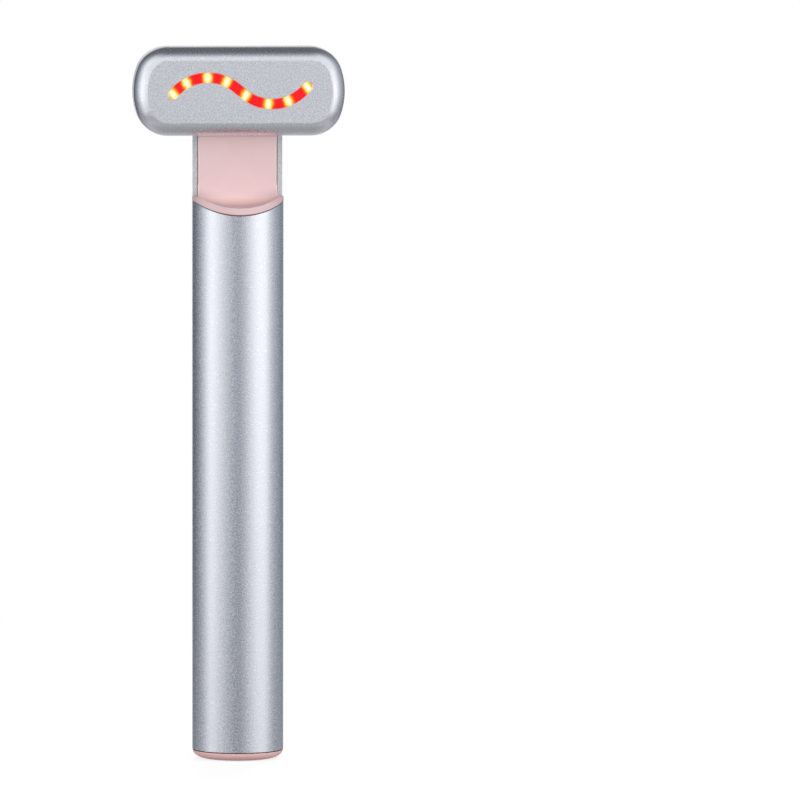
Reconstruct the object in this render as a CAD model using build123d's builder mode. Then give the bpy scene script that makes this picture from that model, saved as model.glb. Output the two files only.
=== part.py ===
from build123d import *
from math import asin, degrees, sqrt
import os

# Red light wand with a swivelling head. Millimetres, +Z up, the front of the wand faces -Y.
# The origin is the centre of the flat base that the wand stands on.

# Handle tube: a thin round tube whose front is cut away at the neck
tube_radius = 9.75
tube_wall = 1.0
grip_length = 114.55
scoop_radius = 18.0
neck_depth = 8.05
neck_top_rise = 7.075
neck_top_radius = 11.0

# Base cap: a shallow dish that closes the tube, with a plug and a sealing ring
cap_height = 1.82
cap_seam = 0.16
cap_step = 0.1
cap_round_run = 3.1
cap_floor = 1.4
cap_plug_length = 5.0
cap_plug_wall = 1.7
seal_section = 0.9
seal_squeeze_room = 0.04

# Neck insert: the pink moulding behind the head, with its lip over the scooped edge
lip_height = 1.52
lip_seam = 0.15
ledge_blend = 3.0
insert_clearance = 0.1
insert_plug_length = 10.6
insert_wall = 1.2
panel_chamfer = 0.2
insert_back_opening = 10.0

# Head: a shell with bowed ends and a flat face cut across its rounded front, a cover at the back
head_length = 45.0
head_height = 18.95
head_depth = 10.0
head_bow_radius = 15.0
head_corner_radius = 6.8
head_front_fillet = 4.5
head_face_cut = 0.3
head_back_fillet = 0.4
head_inner_fillet = 2.5
head_wall = 1.2
head_face_wall = 1.0
head_gap = 0.6
head_sweep_gap = 2.225
cover_thickness = 1.2
cover_rim = 0.8
cover_clearance = 0.06

# Light window: a wave made of two arcs and the straight run between them, sized as shares of the head
wave_radius_share = 0.211
wave_crest_x_share = -0.153
wave_crest_z_share = 0.16
wave_run_share = 0.049
wave_start_sweep = 51.0
wave_slope = 39.0
wave_end_sweep = 52.0
slot_width = 2.04
slot_chamfer = 0.18
window_recess = 0.2
window_clearance = 0.04
window_flange = 0.8
window_flange_thickness = 0.7

# Lights and the head's board; the lights' places are shares of the wave's length
light_places = (0.0, 0.117, 0.261, 0.39, 0.545, 0.706, 0.842, 1.0)
light_length = 1.6
light_width = 0.8
light_height = 0.8
light_gap = 0.3
led_board_inset = 3.4
led_board_thickness = 0.8
led_post_past_corner_x = 0.7
led_post_past_corner_z = 1.0
led_post_radius = 1.5
led_screw_grip = 1.5
heater_thickness = 0.25
heater_margin = 0.2
driver_size = 3.0
driver_height = 0.8
driver_x = 10.0

# Small screws: the shank radius, and the head's radius and height
screw_radius = 0.6
screw_head_radius = 1.15
screw_head_height = 0.6
screw_hole_room = 0.12
screw_thread_room = 0.02
screw_thread_length = 2.0

# Swivel: a hollow flanged shaft in a bush, with a disc spring, a stop washer and a clip
shaft_radius = 2.2
shaft_bore = 1.35
shaft_flange_radius = 5.2
shaft_flange_thickness = 1.0
shaft_end_past_clip = 0.3
shaft_flat = 1.85
pivot_clearance = 0.03
key_clearance = 0.02
pivot_boss_radius = 6.4
pivot_boss_depth = 2.5
pivot_screw_circle = 3.8
pivot_screw_count = 3
bush_radius = 3.0
bush_flange_radius = 4.5
thrust_gap = 0.1
neck_boss_radius = 3.7
neck_boss_height = 0.4
spring_thickness = 0.2
spring_rise = 0.35
spring_radius = 3.5
spring_bore_room = 0.15
washer_thickness = 0.6
washer_radius = 3.6
tab_reach = 5.0
tab_width = 1.6
stop_clearance = 0.15
stop_rib_gap = 0.3
clip_thickness = 0.3
clip_radius = 2.9
clip_groove_radius = 1.72
clip_opening = 2.4
clip_clearance = 0.02
axial_play = 0.06

# Cell, its tabs and the chassis that holds the cell and the main board
cell_room = 0.2
tab_strip_thickness = 0.2
tab_strip_length = 7.0
tab_strip_width = 4.0
chassis_wall = 1.35
chassis_clearance = 0.2
chassis_window_lip = 1.7
chassis_end_ring = 2.4
chassis_floor = 1.2
chassis_floor_drop = 6.1
seat_gap = 0.2

# Main board and what is on it
board_length = 41.0
board_thickness = 1.0
board_front_y = 2.0
board_side_room = 0.25
board_above_cell = 4.0
board_top_room = 3.1
rail_width = 0.9
rail_depth = 1.2
crossbar_depth = 1.6
crossbar_height = 3.6
board_screw_low = 3.5
crossbar_gap = 0.8
chip_size = 5.0
chip_height = 0.9
coil_size = 3.8
coil_height = 1.9
coil_corner = 0.8
coil_below_motor = 4.6
capacitor_length = 2.0
capacitor_width = 1.25
capacitor_height = 1.2
capacitor_pitch = 3.2
capacitor_count = 3
connector_length = 2.4
connector_width = 5.0
connector_height = 2.6

# Power button at the back of the handle, the switch under it and the indicator below it
button_below_ledge = 21.6
button_radius = 3.6
button_gap = 0.15
button_proud = 0.35
button_edge = 0.4
button_flange = 0.8
button_flange_thickness = 0.7
button_travel = 0.5
button_nib_radius = 1.2
button_nib_length = 0.66
switch_size = 4.6
plunger_radius = 0.9
plunger_clearance = 0.05
plunger_rise = 1.0
plunger_depth = 0.2
indicator_drop = 9.0
pipe_radius = 0.75
pipe_clearance = 0.05
indicator_size = 1.4
indicator_height = 0.6

# Vibration motor, standing in front of the board just under the neck
motor_radius = 3.5
motor_length = 12.0
motor_axis_y = -2.9
motor_shaft_radius = 0.5
motor_shaft_depth = 9.0
motor_shaft_rise = 5.0
motor_clearance = 0.05
boot_wall = 0.6
boot_length = 10.0
cradle_thickness = 1.5
cradle_clearance = 0.05
weight_radius = 3.0
weight_length = 3.8
weight_lift = 1.0
press_clearance = 0.01

# Charging socket in the base and the small board behind it
socket_width = 8.94
socket_depth = 3.26
socket_length = 7.3
socket_wall = 0.3
socket_recess = 0.5
port_clearance = 0.15
tongue_width = 6.69
tongue_thickness = 0.7
tongue_recess = 0.9
charge_board_side_room = 0.5
charge_board_thickness = 0.8
charge_board_lift = 0.3
charge_board_slot = 0.8
charge_chip_size = 3.0
charge_chip_height = 0.8

# Wires
wire_radius = 0.3
wire_count = 4
wire_pitch = 0.62
wire_bend = 0.7
wire_gap = 0.3
lead_radius = 0.4
lead_bend = 0.6
lead_pitch = 1.4
lead_count = 4
lead_gap = 0.35
lead_pad_rise = 0.8

# Contacts: sprung strips that touch the two metal shells
strip_thickness = 0.15
strip_width = 1.6
strip_bend = 0.3
contact_clearance = 0.02
head_contact_end_room = 7.9
head_contact_side_room = 5.0
head_contact_foot = 2.4
tube_contact_side_room = 0.4
tube_contact_foot = 2.6

# Heights worked out from the sizes above
tube_bore = tube_radius - tube_wall
neck_face_y = tube_radius - neck_depth
tube_bottom = cap_height + cap_seam
ledge_z = tube_bottom + grip_length
lip_top_z = ledge_z + lip_seam + lip_height
pivot_z = lip_top_z + head_sweep_gap + head_length / 2
neck_top_z = pivot_z + neck_top_rise
head_bow_x = head_length / 2 - head_bow_radius
head_corner_z = head_height / 2 - head_corner_radius
heater_inset = head_wall + head_inner_fillet
head_corner_x = head_bow_x + sqrt((head_bow_radius - head_corner_radius) ** 2 - head_corner_z**2)
insert_radius = tube_bore - insert_clearance
insert_bottom = ledge_z - insert_plug_length
insert_cavity = insert_radius - insert_wall
cap_plug_radius = tube_bore - insert_clearance
cap_plug_top = cap_height + cap_plug_length
chassis_radius = tube_bore - chassis_clearance
chassis_bore = chassis_radius - chassis_wall
chassis_window = 2 * (chassis_bore - chassis_window_lip)
cell_radius = chassis_bore - cell_room
chassis_bottom = cap_plug_top + seat_gap
chassis_top = insert_bottom - seat_gap
floor_bottom = chassis_bottom + chassis_floor_drop
floor_top = floor_bottom + chassis_floor
cell_bottom = floor_top + seat_gap / 2 + tab_strip_thickness
board_top = chassis_top - board_top_room
board_bottom = board_top - board_length
board_back_y = board_front_y + board_thickness
cell_top = board_bottom - board_above_cell
button_z = ledge_z - button_below_ledge
indicator_z = button_z - indicator_drop

# Depths worked out from the sizes above, front to back
head_back_y = neck_face_y - head_gap
head_front_y = head_back_y - head_depth
face_inner_y = head_front_y + head_face_wall
window_back_y = face_inner_y + window_flange_thickness
light_front_y = window_back_y + light_gap
led_board_front_y = light_front_y + light_height
led_board_back_y = led_board_front_y + led_board_thickness
cover_front_y = head_back_y - cover_thickness
boss_front_y = cover_front_y - pivot_boss_depth
shaft_front_y = boss_front_y - shaft_flange_thickness
panel_inner_y = neck_face_y + insert_wall
neck_boss_y = panel_inner_y + neck_boss_height
washer_front_y = neck_boss_y + spring_rise + axial_play
washer_back_y = washer_front_y + washer_thickness
clip_front_y = washer_back_y + axial_play
clip_back_y = clip_front_y + clip_thickness
shaft_back_y = clip_back_y + shaft_end_past_clip


def across(y):
    """The plane at y, square to the swivel axis, seen from the front."""
    return Plane.XZ.offset(-y)


def head_plane(y):
    """The same plane with its centre on the swivel axis."""
    return Plane(origin=(0, y, pivot_z), x_dir=(1, 0, 0), z_dir=(0, -1, 0))


def head_outline(plane, inset):
    """The head's outline drawn in by inset: straight long sides, bowed ends, round corners."""
    bow_angle = degrees(asin(head_corner_z / (head_bow_radius - head_corner_radius)))
    corner_centre = (head_corner_x, head_corner_z)
    with BuildSketch(plane) as outline:
        with BuildLine():
            CenterArc((head_bow_x, 0), head_bow_radius - inset, 0, bow_angle)
            corner = CenterArc(corner_centre, head_corner_radius - inset, bow_angle, 90 - bow_angle)
            Line(corner @ 1, (0, head_height / 2 - inset))
            mirror(about=Plane.YZ)
            mirror(about=Plane.XZ)
        make_face()
    return outline.sketch


def wave_centre_line():
    """The centre line of the light window, about the swivel axis."""
    wave_radius = wave_radius_share * head_length
    crest_centre = (wave_crest_x_share * head_length, wave_crest_z_share * head_height - wave_radius)
    with BuildLine() as wave:
        rise = CenterArc(
            crest_centre, wave_radius, 90 + wave_start_sweep, -(wave_start_sweep + wave_slope)
        )
        run = PolarLine(rise @ 1, wave_run_share * head_length, -wave_slope)
        trough_centre = (run @ 1) + Vector(0, wave_radius).rotate(Axis.Z, -wave_slope)
        CenterArc(trough_centre, wave_radius, -90 - wave_slope, wave_slope + wave_end_sweep)
    return Wire(wave.line.edges())


def wave_band(plane, width):
    """A band of even width with round ends along the wave."""
    with BuildSketch(plane) as band:
        SlotArc(wave_centre_line(), width)
    return band.sketch


def above_scoop(plane, low_z):
    """All that lies above the scooped edge whose lowest point is at low_z."""
    with BuildSketch(plane) as region:
        with Locations((0, low_z + scoop_radius)):
            Circle(scoop_radius)
            Rectangle(2 * scoop_radius, 2 * head_length, align=(Align.CENTER, Align.MIN))
    return region.sketch


def below_neck_top(plane, inset):
    """All that lies below the rounded top of the neck, drawn in by inset."""
    arc_centre = neck_top_z - neck_top_radius
    with BuildSketch(plane) as region:
        with Locations((0, arc_centre)):
            Circle(neck_top_radius - inset)
            Rectangle(2 * (neck_top_radius - inset), arc_centre, align=(Align.CENTER, Align.MAX))
    return region.sketch


def wire_along(points, bends, radius):
    """One insulated wire: straight runs joined by round bends."""
    with BuildPart() as wire:
        with BuildLine() as route:
            FilletPolyline(*points, radius=bends)
        with BuildSketch(Plane(origin=route.line @ 0, z_dir=route.line % 0)):
            Circle(radius)
        sweep()
    return wire.part


def pan_screw(seat, direction, length):
    """A pan-head screw whose head sits on seat and whose shank runs along direction."""
    with BuildPart() as screw:
        with BuildSketch(Plane(origin=seat, z_dir=direction)):
            Circle(screw_radius)
        extrude(amount=length)
        with BuildSketch(Plane(origin=seat, z_dir=direction)):
            Circle(screw_head_radius)
        extrude(amount=-screw_head_height)
    return screw.part


def keyed_section(plane, room):
    """The shaft's section where it has two flats, grown by room."""
    with BuildSketch(plane) as section:
        Circle(shaft_radius + room)
        Rectangle(2 * (shaft_flat + room), 4 * shaft_radius, mode=Mode.INTERSECT)
    return section.sketch


# Handle tube: cut away at the front of the neck, rounded at the top, drilled at the back
with BuildPart() as handle_tube:
    with BuildSketch(Plane.XY.offset(tube_bottom)):
        Circle(tube_radius)
        Circle(tube_bore, mode=Mode.SUBTRACT)
    extrude(amount=neck_top_z - tube_bottom)
    extrude(above_scoop(across(neck_face_y), ledge_z), amount=2 * tube_radius, mode=Mode.SUBTRACT)
    extrude(below_neck_top(across(0), 0), amount=2 * tube_radius, both=True, mode=Mode.INTERSECT)
    with BuildSketch(across(0)):
        with Locations((0, button_z)):
            Circle(button_radius + button_gap)
        with Locations((0, indicator_z)):
            Circle(pipe_radius + pipe_clearance)
    extrude(amount=-2 * tube_radius, mode=Mode.SUBTRACT)
handle_tube.part.label = "handle_tube"

# Neck insert: a plug in the tube, the lip over its scooped edge and the panel behind the head,
# with a channel behind the panel that is closed at the top and open at the back
with BuildPart() as scoop_tool:
    extrude(above_scoop(across(neck_face_y), lip_top_z), amount=2 * tube_radius)
    inner_edge = scoop_tool.edges().filter_by(GeomType.CIRCLE).sort_by(Axis.Y)[-1]
    fillet(inner_edge, ledge_blend)

with BuildPart() as lip_band:
    with BuildSketch(Plane.XY.offset(ledge_z)):
        Circle(tube_radius)
    extrude(amount=scoop_radius)
    extrude(
        above_scoop(across(neck_face_y - seat_gap / 4), ledge_z + lip_seam),
        amount=2 * tube_radius,
        mode=Mode.INTERSECT,
    )
    extrude(above_scoop(across(neck_face_y), lip_top_z), amount=2 * tube_radius, mode=Mode.SUBTRACT)

with BuildPart() as neck_channel:
    with BuildSketch(Plane.XY.offset(ledge_z)):
        Circle(insert_cavity)
        with Locations((0, panel_inner_y)):
            Rectangle(2 * tube_radius, tube_radius, align=(Align.CENTER, Align.MIN), mode=Mode.INTERSECT)
            Rectangle(insert_back_opening, tube_radius, align=(Align.CENTER, Align.MIN))
    extrude(amount=neck_top_z - ledge_z)
    extrude(
        below_neck_top(across(0), insert_wall), amount=-2 * tube_radius, mode=Mode.INTERSECT
    )

with BuildPart() as neck_insert:
    with BuildSketch(Plane.XY.offset(insert_bottom)):
        Circle(insert_radius)
    extrude(amount=neck_top_z - insert_bottom)
    add(scoop_tool.part, mode=Mode.SUBTRACT)
    add(lip_band.part)
    extrude(below_neck_top(across(0), 0), amount=2 * tube_radius, both=True, mode=Mode.INTERSECT)
    with BuildSketch(Plane.XY.offset(insert_bottom)):
        Circle(insert_cavity)
    extrude(amount=ledge_z - insert_bottom, mode=Mode.SUBTRACT)
    add(neck_channel.part, mode=Mode.SUBTRACT)
    # The boss that carries the bush, and the half ring that the stop tab meets
    with BuildSketch(head_plane(panel_inner_y)):
        Circle(neck_boss_radius)
    extrude(amount=-neck_boss_height)
    with BuildSketch(head_plane(panel_inner_y)):
        Circle(tab_reach)
        Circle(washer_radius + stop_rib_gap, mode=Mode.SUBTRACT)
        with Locations((0, -tab_width / 2 - stop_clearance)):
            Rectangle(2 * tab_reach, tab_reach, align=(Align.CENTER, Align.MAX), mode=Mode.INTERSECT)
    extrude(amount=panel_inner_y - washer_back_y)
    with BuildSketch(head_plane(neck_boss_y)):
        Circle(bush_radius + press_clearance)
    extrude(amount=2 * tube_radius, mode=Mode.SUBTRACT)
    # The lip ends flat beside the panel, whose two upright edges are chamfered from there up
    panel_edge_x = sqrt(insert_radius**2 - neck_face_y**2)
    lip_end_z = lip_top_z + scoop_radius - sqrt(scoop_radius**2 - panel_edge_x**2)
    with BuildSketch(across(neck_face_y)):
        with Locations((panel_edge_x, lip_end_z)):
            Rectangle(tube_radius, neck_top_z - lip_end_z, align=(Align.MIN, Align.MIN))
        mirror(about=Plane.YZ)
    extrude(amount=2 * tube_radius, mode=Mode.SUBTRACT)
    with BuildSketch(Plane.XY.offset(lip_end_z)):
        with Locations((-panel_edge_x, neck_face_y), (panel_edge_x, neck_face_y)):
            Rectangle(sqrt(2) * panel_chamfer, sqrt(2) * panel_chamfer, rotation=45)
    extrude(amount=neck_top_z - lip_end_z, mode=Mode.SUBTRACT)
neck_insert.part.label = "neck_insert"

# Base cap: the dish that shows, its plug in the tube, a groove for the seal and the port's opening
with BuildPart() as base_cap:
    with BuildSketch(Plane.XZ):
        with BuildLine():
            rim_radius = tube_radius - cap_step
            base = Line((0, 0), (rim_radius - cap_round_run, 0))
            EllipticalCenterArc(
                (rim_radius - cap_round_run, cap_height), cap_round_run, cap_height, 270, arc_size=90
            )
            Polyline(
                (rim_radius, cap_height),
                (cap_plug_radius, cap_height),
                (cap_plug_radius, cap_plug_top),
                (cap_plug_radius - cap_plug_wall, cap_plug_top),
                (cap_plug_radius - cap_plug_wall, cap_floor),
                (0, cap_floor),
                base @ 0,
            )
        make_face()
    revolve(axis=Axis.Z)
    with BuildSketch(Plane.XY.offset(cap_height + cap_plug_length / 2 - seal_section / 2)):
        Circle(cap_plug_radius)
        Circle(tube_bore - seal_section, mode=Mode.SUBTRACT)
    extrude(amount=seal_section, mode=Mode.SUBTRACT)
    with BuildSketch(Plane.XY):
        SlotOverall(socket_width + 2 * port_clearance, socket_depth + 2 * port_clearance)
    extrude(amount=cap_floor, mode=Mode.SUBTRACT)
base_cap.part.label = "base_cap"

with BuildPart() as base_seal:
    seal_radius = seal_section / 2 - seal_squeeze_room / 2
    with BuildSketch(Plane.XZ):
        with Locations((tube_bore - seal_section / 2, cap_height + cap_plug_length / 2)):
            Circle(seal_radius)
    revolve(axis=Axis.Z)
base_seal.part.label = "base_seal"

# Charging socket: a flat oval shell with its tongue, upright in the base
with BuildPart() as usb_socket:
    with BuildSketch(Plane.XY.offset(socket_recess)):
        SlotOverall(socket_width, socket_depth)
    extrude(amount=socket_length)
    with BuildSketch(Plane.XY.offset(socket_recess)):
        SlotOverall(socket_width - 2 * socket_wall, socket_depth - 2 * socket_wall)
    extrude(amount=socket_length - socket_wall, mode=Mode.SUBTRACT)
usb_socket.part.label = "usb_socket"

with BuildPart() as socket_tongue:
    with BuildSketch(Plane.XY.offset(socket_recess + tongue_recess)):
        Rectangle(tongue_width, tongue_thickness)
    extrude(amount=socket_length - socket_wall - tongue_recess)
socket_tongue.part.label = "socket_tongue"

# The small charging board stands behind the socket, its top edge in a slot of the chassis
charge_board_y = socket_depth / 2
charge_board_bottom = cap_floor + charge_board_lift
charge_board_top = floor_bottom + charge_board_slot
charge_pad_z = max(socket_recess + socket_length, chassis_bottom + chassis_end_ring) + lead_gap + lead_radius
charge_board_back_y = charge_board_y + charge_board_thickness
cap_plug_bore = cap_plug_radius - cap_plug_wall
charge_board_width = 2 * (sqrt(cap_plug_bore**2 - charge_board_back_y**2) - charge_board_side_room)
with BuildPart() as charge_board:
    with BuildSketch(across(charge_board_y)):
        with Locations((0, charge_board_bottom)):
            Rectangle(
                charge_board_width,
                charge_board_top - charge_board_bottom,
                align=(Align.CENTER, Align.MIN),
            )
    extrude(amount=-charge_board_thickness)
charge_board.part.label = "charge_board"

with BuildPart() as charge_chip:
    with BuildSketch(across(charge_board_back_y)):
        with Locations((0, charge_pad_z)):
            Rectangle(charge_chip_size, charge_chip_size)
    extrude(amount=-charge_chip_height)
charge_chip.part.label = "charge_chip"

# Chassis: a sleeve with an open front, a floor under the cell, rails, crossbars and a cradle
motor_top = board_top
motor_bottom = motor_top - motor_length
motor_centre_z = motor_top - motor_length / 2
boot_radius = motor_radius + motor_clearance + boot_wall
coil_z = motor_bottom - coil_below_motor
upper_screw_z = coil_z - coil_size / 2 - crossbar_gap - crossbar_height / 2
screw_heights = (board_bottom + board_screw_low, upper_screw_z)
board_width = 2 * (sqrt(chassis_bore**2 - board_back_y**2) - board_side_room)
rail_inner = board_width / 2 - rail_width
with BuildPart() as chassis:
    with BuildSketch(Plane.XY.offset(chassis_bottom)):
        Circle(chassis_radius)
        Circle(chassis_bore, mode=Mode.SUBTRACT)
    extrude(amount=chassis_top - chassis_bottom)
    with BuildSketch(Plane.XY.offset(chassis_bottom + chassis_end_ring)):
        Rectangle(chassis_window, chassis_radius, align=(Align.CENTER, Align.MAX))
    extrude(amount=chassis_top - chassis_bottom - 2 * chassis_end_ring, mode=Mode.SUBTRACT)
    with BuildSketch(Plane.XY.offset(floor_bottom)):
        Circle(chassis_radius - chassis_wall / 2)
        with Locations((0, charge_board_y + charge_board_thickness / 2)):
            Rectangle(
                charge_board_width + seat_gap,
                charge_board_thickness + seat_gap,
                mode=Mode.SUBTRACT,
            )
        with Locations((0, -cell_radius + lead_gap + 2 * lead_radius)):
            Rectangle(
                lead_count * lead_pitch + 4 * lead_radius,
                cell_radius,
                align=(Align.CENTER, Align.MAX),
                mode=Mode.SUBTRACT,
            )
    extrude(amount=chassis_floor)
    with BuildSketch(Plane.XY.offset(board_bottom)):
        for side in (-1, 1):
            with Locations((side * (rail_inner + chassis_bore) / 2, board_front_y - rail_depth / 2)):
                Rectangle(chassis_bore - rail_inner, rail_depth)
    extrude(amount=board_length)
    for screw_z in screw_heights:
        with BuildSketch(Plane.XY.offset(screw_z - crossbar_height / 2)):
            with Locations((0, board_front_y - crossbar_depth / 2)):
                Rectangle(2 * rail_inner, crossbar_depth)
        extrude(amount=crossbar_height)
        with BuildSketch(across(board_front_y)):
            with Locations((0, screw_z)):
                Circle(screw_radius + screw_thread_room)
        extrude(amount=crossbar_depth, mode=Mode.SUBTRACT)
    for cradle_z in (motor_centre_z - boot_length / 4, motor_centre_z + boot_length / 4):
        with BuildSketch(Plane.XY.offset(cradle_z - cradle_thickness / 2)):
            Circle(chassis_radius - chassis_wall / 2)
            with Locations((0, board_front_y - rail_depth)):
                Rectangle(
                    2 * chassis_radius,
                    boot_radius - motor_axis_y,
                    align=(Align.CENTER, Align.MAX),
                    mode=Mode.INTERSECT,
                )
            with Locations((0, motor_axis_y)):
                Circle(boot_radius + cradle_clearance, mode=Mode.SUBTRACT)
                Rectangle(
                    2 * (boot_radius + cradle_clearance),
                    chassis_radius,
                    align=(Align.CENTER, Align.MAX),
                    mode=Mode.SUBTRACT,
                )
        extrude(amount=cradle_thickness)
    with BuildSketch(across(0)):
        with Locations((0, button_z)):
            Circle(button_radius + button_flange + seat_gap)
        with Locations((0, indicator_z)):
            Circle(pipe_radius + pipe_clearance)
    extrude(amount=-chassis_radius, mode=Mode.SUBTRACT)
chassis.part.label = "chassis"

# Cell and the nickel strips at its two ends
with BuildPart() as battery_cell:
    with BuildSketch(Plane.XY.offset(cell_bottom)):
        Circle(cell_radius)
    extrude(amount=cell_top - cell_bottom)
battery_cell.part.label = "battery_cell"

with BuildPart() as battery_tabs:
    with BuildSketch(Plane.XY.offset(cell_bottom - tab_strip_thickness)):
        with Locations((0, -cell_radius)):
            Rectangle(tab_strip_width, tab_strip_length, align=(Align.CENTER, Align.MIN))
    extrude(amount=tab_strip_thickness)
    with BuildSketch(Plane.XY.offset(cell_top)):
        Rectangle(tab_strip_width, tab_strip_length)
    extrude(amount=tab_strip_thickness)
battery_tabs.part.label = "battery_tabs"

# Leads from the cell and the charging board, up the open front of the chassis to the main board
lead_y = -cell_radius - lead_gap - lead_radius
lead_pad_z = board_bottom + lead_pad_rise
strip_z = cell_bottom - tab_strip_thickness / 2
with BuildPart() as battery_leads:
    add(
        wire_along(
            [
                (-lead_pitch / 2, -cell_radius, strip_z),
                (-lead_pitch / 2, lead_y, strip_z),
                (-lead_pitch / 2, lead_y, lead_pad_z),
                (-lead_pitch / 2, board_front_y, lead_pad_z),
            ],
            lead_bend,
            lead_radius,
        )
    )
    add(
        wire_along(
            [
                (lead_pitch / 2, -tab_strip_length / 4, cell_top + tab_strip_thickness),
                (lead_pitch / 2, -tab_strip_length / 4, lead_pad_z),
                (lead_pitch / 2, board_front_y, lead_pad_z),
            ],
            lead_bend,
            lead_radius,
        )
    )
battery_leads.part.label = "battery_leads"

outer_lead_x = (lead_count - 1) / 2 * lead_pitch
with BuildPart() as charge_leads:
    for lead_x in (-outer_lead_x, outer_lead_x):
        add(
            wire_along(
                [
                    (lead_x, charge_board_y, charge_pad_z),
                    (lead_x, lead_y, charge_pad_z),
                    (lead_x, lead_y, lead_pad_z),
                    (lead_x, board_front_y, lead_pad_z),
                ],
                lead_bend,
                lead_radius,
            )
        )
charge_leads.part.label = "charge_leads"

# Main board, screwed to the crossbars from behind
with BuildPart() as main_board:
    with BuildSketch(across(board_back_y)):
        with Locations((0, board_bottom)):
            Rectangle(board_width, board_length, align=(Align.CENTER, Align.MIN))
        for screw_z in screw_heights:
            with Locations((0, screw_z)):
                Circle(screw_radius + screw_hole_room, mode=Mode.SUBTRACT)
    extrude(amount=board_thickness)
main_board.part.label = "main_board"

with BuildPart() as board_screws:
    for screw_z in screw_heights:
        add(pan_screw((0, board_back_y, screw_z), (0, -1, 0), board_thickness + crossbar_depth))
board_screws.part.label = "board_screws"

chip_z = (screw_heights[0] + screw_heights[1]) / 2
with BuildPart() as control_chip:
    with BuildSketch(across(board_front_y)):
        with Locations((0, chip_z)):
            Rectangle(chip_size, chip_size)
    extrude(amount=chip_height)
control_chip.part.label = "control_chip"

with BuildPart() as boost_coil:
    with BuildSketch(across(board_front_y)):
        with Locations((0, coil_z)):
            RectangleRounded(coil_size, coil_size, coil_corner)
    extrude(amount=coil_height)
boost_coil.part.label = "boost_coil"

with BuildPart() as capacitors:
    with BuildSketch(across(board_back_y)):
        with Locations((0, chip_z)):
            with GridLocations(capacitor_pitch, 1, capacitor_count, 1):
                Rectangle(capacitor_length, capacitor_width)
    extrude(amount=-capacitor_height)
capacitors.part.label = "capacitors"

with BuildPart() as harness_connector:
    with BuildSketch(across(board_back_y)):
        with Locations((0, board_top)):
            Rectangle(connector_width, connector_length, align=(Align.CENTER, Align.MAX))
    extrude(amount=-connector_height)
harness_connector.part.label = "harness_connector"

# Power button: a cap with a flange inside the tube, over the plunger of a small switch
flange_reach = button_radius + button_flange
flange_back_y = sqrt(tube_bore**2 - flange_reach**2) - seat_gap
flange_front_y = flange_back_y - button_flange_thickness
plunger_back_y = flange_front_y - button_nib_length
switch_back_y = plunger_back_y - plunger_rise
button_back_y = tube_radius + button_proud
with BuildPart() as power_button:
    with BuildSketch(across(flange_front_y)):
        with Locations((0, button_z)):
            Circle(button_radius)
    extrude(amount=flange_front_y - button_back_y)
    fillet(power_button.faces().sort_by(Axis.Y)[-1].edges(), button_edge)
    with BuildSketch(across(flange_front_y)):
        with Locations((0, button_z)):
            Circle(flange_reach)
    extrude(amount=-button_flange_thickness)
    with BuildSketch(across(plunger_back_y)):
        with Locations((0, button_z)):
            Circle(button_nib_radius)
    extrude(amount=-button_nib_length)
power_button.part.label = "power_button"

with BuildPart() as tact_switch:
    with BuildSketch(across(board_back_y)):
        with Locations((0, button_z)):
            Rectangle(switch_size, switch_size)
    extrude(amount=board_back_y - switch_back_y)
    with BuildSketch(across(switch_back_y)):
        with Locations((0, button_z)):
            Circle(plunger_radius + plunger_clearance)
    extrude(amount=plunger_depth + button_travel + seat_gap / 2, mode=Mode.SUBTRACT)
tact_switch.part.label = "tact_switch"

with BuildPart() as switch_plunger:
    with BuildSketch(across(plunger_back_y)):
        with Locations((0, button_z)):
            Circle(plunger_radius)
    extrude(amount=plunger_rise + plunger_depth)
switch_plunger.part.label = "switch_plunger"

# Charge indicator: a light on the board and a clear pipe out to the tube's surface
indicator_back_y = board_back_y + indicator_height
with BuildPart() as indicator_light:
    with BuildSketch(across(board_back_y)):
        with Locations((0, indicator_z)):
            Rectangle(indicator_size, indicator_size)
    extrude(amount=-indicator_height)
indicator_light.part.label = "indicator_light"

with BuildPart() as light_pipe:
    with BuildSketch(across(indicator_back_y + seat_gap / 2)):
        with Locations((0, indicator_z)):
            Circle(pipe_radius)
    extrude(amount=indicator_back_y + seat_gap / 2 - sqrt(tube_radius**2 - pipe_radius**2))
light_pipe.part.label = "light_pipe"

# Vibration motor in its rubber boot, with an off-centre weight on its shaft
motor_axis = Plane.XY.offset(motor_bottom).move(Location((0, motor_axis_y, 0)))
with BuildPart() as motor_can:
    with BuildSketch(motor_axis):
        Circle(motor_radius)
    extrude(amount=motor_length)
    with BuildSketch(motor_axis.offset(motor_length - motor_shaft_depth - seat_gap)):
        Circle(motor_shaft_radius + motor_clearance)
    extrude(amount=motor_shaft_depth + seat_gap, mode=Mode.SUBTRACT)
motor_can.part.label = "motor_can"

with BuildPart() as motor_boot:
    with BuildSketch(motor_axis.offset((motor_length - boot_length) / 2)):
        Circle(boot_radius)
        Circle(motor_radius + motor_clearance / 2, mode=Mode.SUBTRACT)
    extrude(amount=boot_length)
motor_boot.part.label = "motor_boot"

with BuildPart() as motor_shaft:
    with BuildSketch(motor_axis.offset(motor_length - motor_shaft_depth)):
        Circle(motor_shaft_radius)
    extrude(amount=motor_shaft_depth + motor_shaft_rise)
motor_shaft.part.label = "motor_shaft"

with BuildPart() as motor_weight:
    with BuildSketch(motor_axis.offset(motor_length + weight_lift)):
        Circle(weight_radius)
        Rectangle(2 * weight_radius, weight_radius, align=(Align.CENTER, Align.MIN), mode=Mode.SUBTRACT)
        Circle(2 * motor_shaft_radius)
        Circle(motor_shaft_radius + press_clearance, mode=Mode.SUBTRACT)
    extrude(amount=weight_length)
motor_weight.part.label = "motor_weight"

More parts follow.
